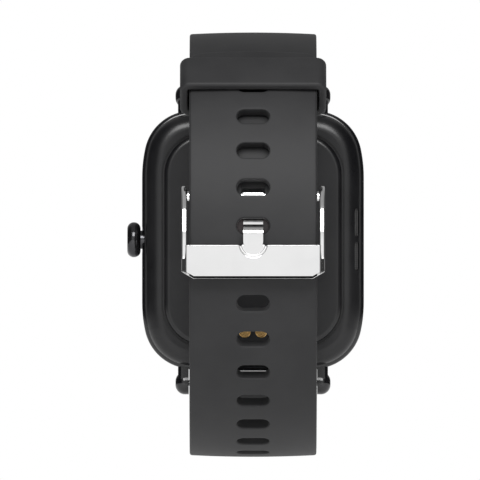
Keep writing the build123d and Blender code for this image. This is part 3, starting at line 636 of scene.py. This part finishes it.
@dataclass
class Strap:
    """Both halves of the silicone strap, in millimetres; angles are in degrees round the wrist."""

    bar_y: float = -15.0
    case_z: float = -0.3
    bar_reach: float = 22.75
    upper_outer: float = 32.45
    upper_thick: float = 2.3
    lower_outer: float = 34.6
    lower_thick: float = 1.85
    pin_angle: float = 12.0
    tail_angle: float = 57.6
    tail_corner: float = 1.8
    hole_count: int = 13
    hole_width: float = 5.15
    hole_length: float = 2.55
    first_hole: float = 43.65
    hole_pitch: float = 10.15
    tongue_gap: float = 1.875
    tongue_reach: float = 2.9
    lever_x: float = 6.0
    lever_length: float = 2.9
    lever_width: float = 1.3
    pocket_margin: float = 0.45
    pocket_rows: int = 8
    pocket_block: tuple = (4.2, 7.8)
    slot_block: float = 3.4

    def rows_to_bar(self, path: StrapPath, start: float, step: float = 0.5) -> np.ndarray:
        """Distances from a start to the round end past the spring bar, finer round the end."""
        pocket = self.lever_width / 2 + self.pocket_margin
        even = np.linspace(start, path.s_bar - pocket, max(2, round((path.s_bar - pocket - start) / step)))
        block = path.s_bar + np.linspace(-pocket, pocket, self.pocket_rows + 1)
        rest = math.asin(pocket / path.end_r)
        tip = path.s_bar + path.end_r * np.sin(np.linspace(rest, math.pi / 2, 9))
        return np.concatenate([even, block[1:], tip[1:]])

    def lever_pocket(self, half: StrapHalf, columns: tuple) -> Slot:
        """Pocket for the quick-release lever on the wrist side of the spring-bar end."""
        near = half.path.s_bar - self.lever_width / 2 - self.pocket_margin
        low = int(np.argmin(np.abs(half.rows - near)))
        return Slot(
            self.lever_x, half.path.s_bar, self.lever_length / 2, self.lever_width / 2,
            columns, (low, low + self.pocket_rows), rim=0.15, outer=False, floor=0.3,
        )

    def build_lower(self) -> bpy.types.Object:
        """Lower half: thirteen adjustment slots, a tail with rounded corners."""
        path = StrapPath(self.lower_outer, self.lower_thick, -1, (self.bar_y, self.case_z - self.bar_reach))
        flat = path.width / 2 - path.fillet
        middle = np.linspace(-self.slot_block, self.slot_block, 19)
        right = np.concatenate([[3.7], np.linspace(*self.pocket_block, 9), np.linspace(8.2, flat, 4)])
        columns = np.concatenate([-right[::-1], middle, right])
        first = len(right)
        pitch = path.mid * math.radians(self.hole_pitch)
        per_hole = 14
        top = path.s_at(self.first_hole) - pitch / 2
        tail = path.s_at(self.tail_angle)
        corner = tail + self.tail_corner * (1 - np.cos(np.linspace(0, math.pi / 2, 10)))
        lead = np.linspace(corner[-1], top, 18)
        holes = top + np.arange(self.hole_count * per_hole + 1) * pitch / per_hole
        rows = np.concatenate([corner, lead[1:], holes[1:], self.rows_to_bar(path, holes[-1])[1:]])
        half = StrapHalf(path, columns, rows)
        half.corner = self.tail_corner
        skin = Skin("lower_strap_skin")
        start = len(corner) + len(lead) - 2
        for k in range(self.hole_count):
            row = start + k * per_hole
            half.cut(skin, Slot(
                0.0, top + (k + 0.5) * pitch, self.hole_width / 2, self.hole_length / 2,
                (first, first + len(middle) - 1), (row, row + per_hole),
            ))
        pocket = first + len(middle)
        half.cut(skin, self.lever_pocket(half, (pocket, pocket + 9)))
        half.faces(skin)
        self.cap_tail(skin, half)
        return skin.finish("lower_band", Finishes.SILICONE, "strap_silicone")

    def cap_tail(self, skin: Skin, half: StrapHalf) -> None:
        """Closes the tail: its outside edge is carried to the wrist side over a short half-round bulge."""
        row, last = half.rows[:1], half.edge_steps
        outside = half.surface(half.columns[None, :], row[:, None], 1)
        inside = half.surface(half.columns[None, :], row[:, None], -1)
        right, left = half.edge(1, row), half.edge(-1, row)
        upper = np.concatenate([left[:, last::-1], outside[:, 1:-1], right[:, :last + 1]], axis=1)
        lower = np.concatenate([left[:, last + 1:], inside[:, 1:-1], right[:, :last:-1]], axis=1)
        nought = np.zeros(1)
        ahead = half.path.place(nought, row - 1, nought) - half.path.place(nought, row, nought)
        turn = np.linspace(0, math.pi, 13)[:, None, None]
        share = (1 + np.cos(turn)) / 2
        skin.grid(upper * share + lower * (1 - share) + ahead * half.path.fillet * np.sin(turn))

    def build_upper(self) -> bpy.types.Object:
        """Upper half: ends in an eye round the buckle pin, forked for the tongue."""
        path = StrapPath(self.upper_outer, self.upper_thick, 1, (self.bar_y, self.case_z + self.bar_reach))
        flat = path.width / 2 - path.fillet
        middle = np.linspace(-self.tongue_gap, self.tongue_gap, 7)
        right = np.concatenate([
            np.linspace(2.3, 3.9, 4), np.linspace(*self.pocket_block, 9), np.linspace(8.2, flat, 4)
        ])
        columns = np.concatenate([-right[::-1], middle, right])
        radius = path.thick / 2
        pin = path.s_at(self.pin_angle)
        eye = pin - radius * np.cos(np.linspace(0, math.pi / 2, 12))
        fork = np.linspace(pin, path.s_at(self.pin_angle + self.tongue_reach), 6)
        rows = np.concatenate([eye, fork[1:], self.rows_to_bar(path, fork[-1])[1:]])
        half = StrapHalf(path, columns, rows)
        half.round_start = True
        skin = Skin("upper_strap_skin")
        pocket = len(right) + len(middle) + 4
        half.cut(skin, self.lever_pocket(half, (pocket, pocket + 8)))
        forked = len(eye) + len(fork) - 2
        gap = (slice(0, forked), slice(len(right), len(right) + len(middle) - 1))
        half.cut_outer[gap] = half.cut_inner[gap] = False
        half.faces(skin)
        depth = np.linspace(1, -1, 7)
        walls = half.rows[:forked + 1, None]
        for side in (-1, 1):
            top = half.surface(np.array([[side * self.tongue_gap]]), walls, 1)
            base = half.surface(np.array([[side * self.tongue_gap]]), walls, -1)
            share = ((1 + depth) / 2)[None, :, None]
            skin.grid(top * share + base * (1 - share))
        end_row = half.rows[forked:forked + 1, None]
        top, base = (half.surface(middle[None, :], end_row, side) for side in (1, -1))
        share = ((1 + depth) / 2)[:, None, None]
        skin.grid(top * share + base * (1 - share))
        return skin.finish("upper_band", Finishes.SILICONE, "strap_silicone")

    def build(self) -> None:
        """Builds both halves in place of the plain ones."""
        for piece, node in ((self.build_upper(), "upper_strap"), (self.build_lower(), "lower_strap")):
            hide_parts(node)
            sharpen(piece)


@dataclass
class Keeper:
    """Loop that holds the strap's tail: a rounded rectangle carried round a short arc, in millimetres."""

    half_width: float = 10.28
    inside: float = 29.87
    outside: float = 34.88
    wall: float = 1.2
    corner: float = 0.3
    start: float = 41.7
    end: float = 52.1
    outer_round: float = 0.5
    inner_round: float = 0.18

    def outline(self) -> tuple[np.ndarray, np.ndarray]:
        """Inside outline across X and the radius, and its outward directions.

        Each corner is a quarter circle; the straights between them carry evenly spaced points.
        """
        half_depth = (self.outside - self.inside) / 2
        reach = [self.half_width - self.corner, half_depth - self.corner]
        centres = np.array([[1, 1], [-1, 1], [-1, -1], [1, -1]]) * reach
        turns = np.radians([0, 90, 180, 270])
        wide_count, narrow_count = 24, 8
        points, ways = [], []
        for k in range(4):
            angle = turns[k] + np.linspace(0, math.pi / 2, 9)
            way = np.stack([np.cos(angle), np.sin(angle)], axis=1)
            arc = centres[k] + self.corner * way
            following = centres[(k + 1) % 4] + self.corner * way[-1]
            count = wide_count if k % 2 == 0 else narrow_count
            share = np.linspace(0, 1, count)[1:-1, None]
            points += [arc, arc[-1] + (following - arc[-1]) * share]
            ways += [way, np.repeat(way[-1:], count - 2, axis=0)]
        middle = np.array([0, (self.inside + self.outside) / 2])
        return np.concatenate(points) + middle, np.concatenate(ways)

    def wall_profile(self) -> np.ndarray:
        """Closed wall section, round-cornered: depth from the inside face, and angle round the wrist."""
        reach = math.degrees(1 / self.outside)
        corners = (
            (self.wall, self.end, self.outer_round, 0), (self.wall, self.start, self.outer_round, -90),
            (0.0, self.start, self.inner_round, -180), (0.0, self.end, self.inner_round, -270),
        )
        pieces = []
        for depth, angle, radius, turn in corners:
            inward = -1 if depth else 1
            back = -1 if angle == self.end else 1
            middle = np.array([depth + inward * radius, angle + back * radius * reach])
            sweep = np.radians(turn + np.linspace(90, 0, 9))
            pieces.append(middle + radius * np.stack([np.cos(sweep), np.sin(sweep) * reach], axis=1))
        return np.concatenate(pieces)

    def build(self) -> None:
        """Carries the wall section round the outline."""
        outline, ways = self.outline()
        wall = self.wall_profile()
        flat = outline[None] + ways[None] * wall[:, :1, None]
        angle = np.radians(wall[:, 1])[:, None]
        x, reach = flat[..., 0], flat[..., 1]
        points = np.stack([x, reach * np.cos(angle), reach * np.sin(angle)], axis=-1) * MM
        skin = Skin("keeper_skin")
        skin.grid(np.concatenate([points, points[:1]]), around=True)
        piece = skin.finish("keeper", Finishes.SILICONE, "strap_silicone")
        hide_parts("strap_keeper")
        sharpen(piece, 60)


@dataclass
class Buckle:
    """Polished buckle: a front bar with a dished notch for the tongue, and two arms, in millimetres."""

    back: float = 34.95
    front: float = 36.45
    top: float = -1.1
    bottom: float = -6.4
    half_width: float = 11.2
    end_round: float = 1.1
    corner: float = 1.9
    corner_rise: float = 1.1
    soft: tuple = (0.12, 0.12, 0.42, 0.15)
    notch_r: float = 2.3
    notch_z: float = -0.85
    notch_depth: float = 0.97
    notch_lip: float = 0.5
    arm_inner: float = 10.35
    arm_thick: float = 0.85
    arm_soft: float = 0.24
    foot: tuple = (35.55, -3.2)
    bend: tuple = (36.25, 3.9)
    pin: tuple = (30.617, 6.508)
    widen_from: float = 0.35
    boss_r: float = 1.6
    arm_half: float = 0.72

    def bar(self, skin: Skin) -> None:
        """Front bar: a soft-cornered section carried across X.

        Each corner of the section is a quarter circle. Towards the ends the front falls back round a
        quarter circle and the bottom rises along the cut corners; near the tongue the front sinks by a
        smooth step of the distance from the notch's centre.
        """
        near = np.linspace(0, self.notch_r + 0.3, 40)
        far = np.linspace(near[-1], self.half_width - self.corner, 12)[1:]
        end = self.half_width - self.corner + self.corner * np.sin(np.linspace(0, math.pi / 2, 22))[1:]
        half = np.concatenate([near, far, end])
        across = np.concatenate([-half[:0:-1], half])
        out = np.abs(across)
        fall = self.end_round - np.sqrt(
            np.maximum(self.end_round**2 - np.maximum(out - self.half_width + self.end_round, 0) ** 2, 0)
        )
        rise = self.corner_rise * np.clip((out - self.half_width + self.corner) / self.corner, 0, 1)
        turn = np.linspace(0, math.pi / 2, 8)
        pieces = []
        corners = ((0, 1), (1, 1), (1, 0), (0, 0))
        front_rows = 66
        for k, ((is_front, is_top), radius) in enumerate(zip(corners, self.soft)):
            angle = math.pi / 2 * (2 - k) - turn
            pieces.append((is_front, is_top, radius * (np.cos(angle) - (1 if is_front else -1)),
                           radius * (np.sin(angle) - (1 if is_top else -1))))
            if k == 1:
                flat = np.zeros(front_rows)
                pieces.append((1, np.linspace(1, 0, front_rows + 2)[1:-1], flat, flat))
        y, z = [], []
        for is_front, is_top, y_part, z_part in pieces:
            base_z = self.top * is_top + (self.bottom + rise[:, None]) * (1 - is_top)
            z.append(base_z + z_part)
            y.append((self.front - fall[:, None] if is_front else self.back) + y_part + 0 * z[-1])
        y, z = np.concatenate(y, axis=1), np.concatenate(z, axis=1)
        away = np.hypot(across[:, None], z - self.notch_z)
        sink = np.clip((self.notch_r - away) / self.notch_lip, 0, 1)
        share = np.clip((y - self.back) / (self.front - self.back), 0, 1)
        y = y - self.notch_depth * sink**2 * (3 - 2 * sink) * share
        points = np.stack([np.broadcast_to(across[:, None], y.shape), y, z], axis=-1) * MM
        middle = points.mean(axis=1, keepdims=True)
        ends = [middle[:1] + (points[:1] - middle[:1]) * k for k in (0.0, 0.5)]
        tails = [middle[-1:] + (points[-1:] - middle[-1:]) * k for k in (0.5, 0.0)]
        skin.grid(np.concatenate([*ends, points, *tails]), around=True)

    def arm(self, skin: Skin, side: int) -> None:
        """One arm: a soft rectangle carried up a curve from the bar, ending in a round boss at the pin.

        The curve is a quadratic one through three handles; the section widens smoothly to the boss, whose
        end follows a circle, and its corners are quarter circles that shrink with it.
        """
        handles = np.array([self.foot, self.bend, self.pin])
        t = np.linspace(0, 1, 40)[:, None]
        line = (1 - t) ** 2 * handles[0] + 2 * t * (1 - t) * handles[1] + t**2 * handles[2]
        way = 2 * (1 - t) * (handles[1] - handles[0]) + 2 * t * (handles[2] - handles[1])
        way /= np.linalg.norm(way, axis=1, keepdims=True)
        past = self.boss_r * np.sin(np.linspace(0, math.pi / 2, 12))[1:, None]
        line = np.concatenate([line, line[-1] + way[-1] * past])
        way = np.concatenate([way, np.repeat(way[-1:], len(past), axis=0)])
        step = np.clip((t[:, 0] - self.widen_from) / (1 - self.widen_from), 0, 1)
        width = self.arm_half + (self.boss_r - self.arm_half) * step**2 * (3 - 2 * step)
        width = np.concatenate([width, np.sqrt(np.maximum(self.boss_r**2 - past[:, 0] ** 2, 0))])
        turn = np.linspace(0, math.pi / 2, 6)
        soft = np.minimum(self.arm_soft, width)[:, None]
        aside, out = [], []
        for k, (sx, sw) in enumerate(((1, 1), (-1, 1), (-1, -1), (1, -1))):
            angle = turn + k * math.pi / 2
            aside.append(sx * (self.arm_thick / 2 - soft) + soft * np.cos(angle))
            out.append(sw * (width[:, None] - soft) + soft * np.sin(angle))
        aside, out = np.concatenate(aside, axis=1), np.concatenate(out, axis=1)
        normal = np.stack([way[:, 1], -way[:, 0]], axis=1)
        flat = line[:, None] + normal[:, None] * out[..., None]
        x = side * (self.arm_inner + self.arm_thick / 2) + aside
        points = np.stack([x, flat[..., 0], flat[..., 1]], axis=-1) * MM
        foot = points[:1].mean(axis=1, keepdims=True) + 0 * points[:1]
        skin.grid(np.concatenate([foot, points]), around=True)

    def build(self) -> None:
        """Builds the bar and both arms as one piece."""
        skin = Skin("buckle_frame_skin")
        self.bar(skin)
        for side in (-1, 1):
            self.arm(skin, side)
        piece = skin.finish("buckle", Finishes.STEEL, "buckle_steel", weld_mm=0.0002)
        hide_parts("buckle_frame")
        sharpen(piece, 45)


# ---- parts kept as designed ---------------------------------------------------------------------
@dataclass
class Dressing:
    """Pieces that keep their designed shape, and the finish they share."""

    finish: Finishes
    nodes: tuple

    def dress(self) -> None:
        """Gives the pieces their finish."""
        for name in self.nodes:
            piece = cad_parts[name]
            piece.data.materials.clear()
            piece.data.materials.append(self.finish.value.material())
            log.info("%s: %s", name, self.finish.value.name)


@dataclass
class Case:
    """The case, its back and front, the crown and everything inside."""

    groups: tuple = (
        Dressing(Finishes.CASE, ("mid_frame",)),
        Dressing(Finishes.BACK, ("back_cover",)),
        Dressing(Finishes.GLASS, ("cover_glass",)),
        Dressing(Finishes.SENSOR, ("sensor_window",)),
        Dressing(Finishes.SEAL, ("back_gasket", "glass_gasket", "crown_o_rings")),
        Dressing(Finishes.DISPLAY, ("display_panel",)),
        Dressing(Finishes.INNER, ("chassis", "speaker", "crown_bushing", "crown_switch", "switch_plunger")),
        Dressing(Finishes.BOARD, ("main_board", "sensor_board")),
        Dressing(Finishes.INNER_STEEL, ("board_screws", "shield_can", "vibration_motor", "crown_clip")),
        Dressing(Finishes.FOIL, ("battery",)),
        Dressing(Finishes.MAGNET, ("charging_magnets",)),
        Dressing(Finishes.GOLD, ("charging_contacts",)),
        Dressing(Finishes.MESH, ("speaker_mesh", "microphone_mesh")),
        Dressing(Finishes.CROWN, ("crown_knob", "crown_stem")),
    )

    def build(self) -> None:
        """Dresses the case."""
        for group in self.groups:
            group.dress()


@dataclass
class Clasp:
    """The tongue, the buckle pin and the spring bars."""

    groups: tuple = (
        Dressing(Finishes.STEEL, ("buckle_tongue", "buckle_pin")),
        Dressing(Finishes.BAR, (
            "upper_bar_tube", "lower_bar_tube", "upper_bar_fixed_tip", "lower_bar_fixed_tip",
            "upper_release_pin", "lower_release_pin", "upper_bar_spring", "lower_bar_spring",
        )),
    )

    def build(self) -> None:
        """Dresses the clasp."""
        for group in self.groups:
            group.dress()


# ---- studio -------------------------------------------------------------------------------------
@dataclass
class Softbox:
    """A rectangular lamp: where it stands, its size and strength. It faces the watch."""

    name: str
    place_mm: tuple
    size_mm: tuple
    watts: float
    aim_mm: tuple = (0.0, 0.0, 0.0)

    def build(self) -> None:
        """Hangs the lamp."""
        lamp = bpy.data.lights.new(self.name, "AREA")
        lamp.shape, lamp.energy = "RECTANGLE", self.watts
        lamp.size, lamp.size_y = self.size_mm[0] * MM, self.size_mm[1] * MM
        stand = bpy.data.objects.new(self.name, lamp)
        stand.location = Vector(self.place_mm) * MM
        way = Vector(self.aim_mm) * MM - stand.location
        stand.rotation_euler = way.to_track_quat("-Z", "Y").to_euler()
        bpy.context.scene.collection.objects.link(stand)


@dataclass
class Studio:
    """Pale floor below, white all round, softboxes, and the camera facing the clasp."""

    lens: float = 1500.0
    sensor: float = 36.0
    field_mm: float = 75.8
    look_x: float = 2.06
    look_z: float = -0.34
    near_y: float = 2.0
    floor_z: float = -46.0
    floor_r: float = 300.0
    floor_glow: float = 0.35
    front: float = 0.85
    sides: float = 0.04
    behind: float = 0.35
    above: float = 0.3
    below: float = 0.22
    lamps: tuple = field(default_factory=lambda: (
        Softbox("Key softbox", (0, 330, 260), (340, 200), 1.6),
        Softbox("Low softbox", (0, 300, -330), (340, 120), 1.2),
    ))

    def world(self) -> None:
        """White surroundings: bright before and behind, dark at both sides, brighter above than below."""
        world = bpy.data.worlds.new("Studio")
        world.use_nodes = True
        world.node_tree.nodes.clear()
        graph = Graph(world.node_tree)
        way = graph.node("ShaderNodeTexCoord", output="Generated")
        split = graph.node("ShaderNodeSeparateXYZ", inputs={0: way}).source.node
        across, along, up = (Signal(graph, split.outputs[k]) for k in range(3))
        level = along.eased(-0.5, 0.5, self.behind, self.front)
        overhead = up.eased(0.1, 0.9)
        level = level * (1.0 - overhead) + overhead * self.above
        level = level * up.eased(-0.9, -0.1, self.below, 1.0)
        shade = abs(across).eased(0.35, 0.75)
        level = level * (1.0 - shade) + shade * self.sides
        seen = graph.node("ShaderNodeLightPath", output="Is Camera Ray")
        total = level * (1.0 - seen) + seen
        light = graph.node("ShaderNodeBackground", inputs={"Color": (1, 1, 1, 1), "Strength": total})
        out = world.node_tree.nodes.new("ShaderNodeOutputWorld")
        world.node_tree.links.new(light.source, out.inputs["Surface"])
        bpy.context.scene.world = world

    def floor(self) -> None:
        """Round pale floor, well below the watch.

        The surface is rings of growing radius at one height.
        """
        rings, spokes = 12, 64
        radius = np.linspace(0.01, self.floor_r, rings)[:, None] * MM
        angle = np.linspace(0, 2 * math.pi, spokes, endpoint=False)[None, :]
        height = np.full((rings, spokes), self.floor_z * MM)
        points = np.stack([radius * np.cos(angle), radius * np.sin(angle), height], axis=-1).reshape(-1, 3)
        index = np.arange(rings * spokes).reshape(rings, spokes)
        following = np.roll(index, -1, 1)
        quads = np.stack([index[:-1], following[:-1], following[1:], index[1:]], axis=-1)
        mesh = bpy.data.meshes.new("Floor")
        mesh.from_pydata(points.tolist(), [], quads.reshape(-1, 4)[:, ::-1].tolist())
        mesh.update()
        piece = bpy.data.objects.new("floor", mesh)
        paper = Finish("Pale paper", (0.80, 0.80, 0.80), (0.84, 0.84, 0.84), 0.8, mottle_mm=40, grain_mm=1.0)
        look = paper.material()
        shader = next(node for node in look.node_tree.nodes if node.type == "BSDF_PRINCIPLED")
        shader.inputs["Emission Color"].default_value = (1, 1, 1, 1)
        shader.inputs["Emission Strength"].default_value = self.floor_glow
        piece.data.materials.append(look)
        bpy.context.scene.collection.objects.link(piece)

    def camera(self) -> None:
        """Long lens, level with the watch and looking at the clasp."""
        shot = bpy.data.cameras.new("Camera")
        shot.lens, shot.sensor_width = self.lens, self.sensor
        shot.clip_end = 100.0
        shot.dof.use_dof = False
        stand = bpy.data.objects.new("Camera", shot)
        away = self.field_mm * self.lens / self.sensor
        stand.location = Vector((self.look_x, self.near_y + away, self.look_z)) * MM
        stand.rotation_euler = (math.pi / 2, 0, math.pi)
        bpy.context.scene.collection.objects.link(stand)
        bpy.context.scene.camera = stand

    def build(self) -> None:
        """Sets up the whole studio."""
        self.world()
        self.floor()
        self.camera()
        for lamp in self.lamps:
            lamp.build()
        bpy.context.scene.view_settings.view_transform = "Standard"


def main() -> None:
    """Builds the strap, the keeper, the case and the clasp, then the studio round them."""
    logging.basicConfig(level=logging.INFO, format="%(name)s: %(message)s")
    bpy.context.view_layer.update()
    for part in (Strap(), Keeper(), Buckle(), Case(), Clasp(), Studio()):
        log.info("building %s", type(part).__name__)
        part.build()


if __name__ == "__main__":
    main()
